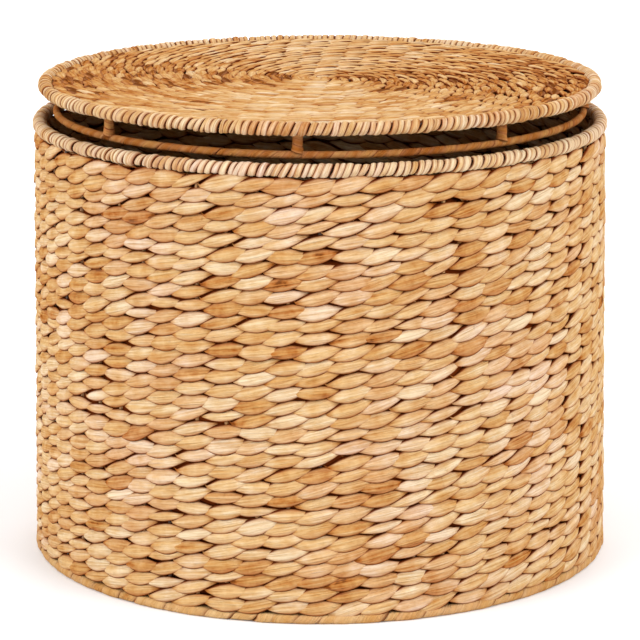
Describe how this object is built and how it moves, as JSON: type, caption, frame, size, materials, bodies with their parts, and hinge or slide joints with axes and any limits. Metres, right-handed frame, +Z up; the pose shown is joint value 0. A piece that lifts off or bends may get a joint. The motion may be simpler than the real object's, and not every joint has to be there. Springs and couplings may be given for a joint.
{
  "type": "lidded laundry basket",
  "caption": "Round laundry basket of twined plant fibre on a wire frame, with wrapped rims and a separate flat woven lid that lifts off.",
  "frame": {"origin": "middle of the flat underside", "axes": "+Z up along the basket's axis; -Y towards the front"},
  "size_m": [0.57, 0.57, 0.4667],
  "materials": {
    "frame_wire": "dark coated steel wire, satin",
    "wall_fibre": "twined flat water hyacinth strands, golden straw with pinkish and brown strands, matt with a faint sheen",
    "lid_fibre": "finer twined water hyacinth strands in rings, golden straw, matt with a faint sheen",
    "rim_fibre": "tightly wrapped narrow fibre strands, pale straw, matt",
    "base_fibre": "wide flat wraps of fibre, pinkish straw, matt",
    "ring_fibre": "smooth wide wraps of fibre, orange brown, slightly glossy"
  },
  "bodies": {
    "basket": {"rim_hoop": "frame_wire", "base_hoop": "frame_wire", "upright_1": "frame_wire", "upright_2": "frame_wire", "upright_3": "frame_wire", "upright_4": "frame_wire", "upright_5": "frame_wire", "upright_6": "frame_wire", "upright_7": "frame_wire", "upright_8": "frame_wire", "upright_9": "frame_wire", "upright_10": "frame_wire", "upright_11": "frame_wire", "upright_12": "frame_wire", "base_spoke_1": "frame_wire", "base_spoke_2": "frame_wire", "base_spoke_3": "frame_wire", "base_spoke_4": "frame_wire", "base_spoke_5": "frame_wire", "base_spoke_6": "frame_wire", "rim_wrap": "rim_fibre", "wall_weave": "wall_fibre", "base_wrap": "base_fibre", "base_weave": "wall_fibre"},
    "lid": {"lid_hoop": "frame_wire", "lid_ring_wire": "frame_wire", "lid_spoke_1": "frame_wire", "lid_spoke_2": "frame_wire", "lid_spoke_3": "frame_wire", "lid_spoke_4": "frame_wire", "lid_spoke_5": "frame_wire", "lid_spoke_6": "frame_wire", "lid_spoke_7": "frame_wire", "lid_spoke_8": "frame_wire", "lid_post_wire_1": "frame_wire", "lid_post_wire_2": "frame_wire", "lid_post_wire_3": "frame_wire", "lid_post_wire_4": "frame_wire", "lid_post_wire_5": "frame_wire", "lid_post_wire_6": "frame_wire", "lid_post_wire_7": "frame_wire", "lid_post_wire_8": "frame_wire", "lid_rim_wrap": "rim_fibre", "lid_ring_wrap": "ring_fibre", "lid_weave": "lid_fibre", "lid_post_wrap_1": "ring_fibre", "lid_post_wrap_2": "ring_fibre", "lid_post_wrap_3": "ring_fibre", "lid_post_wrap_4": "ring_fibre", "lid_post_wrap_5": "ring_fibre", "lid_post_wrap_6": "ring_fibre", "lid_post_wrap_7": "ring_fibre", "lid_post_wrap_8": "ring_fibre"}
  },
  "joints": [
    {"name": "lid_lift", "type": "slide", "parent": "basket", "child": "lid", "axis": [0, 0, 1], "range_m": [-0.0238, 0.3]}
  ]
}
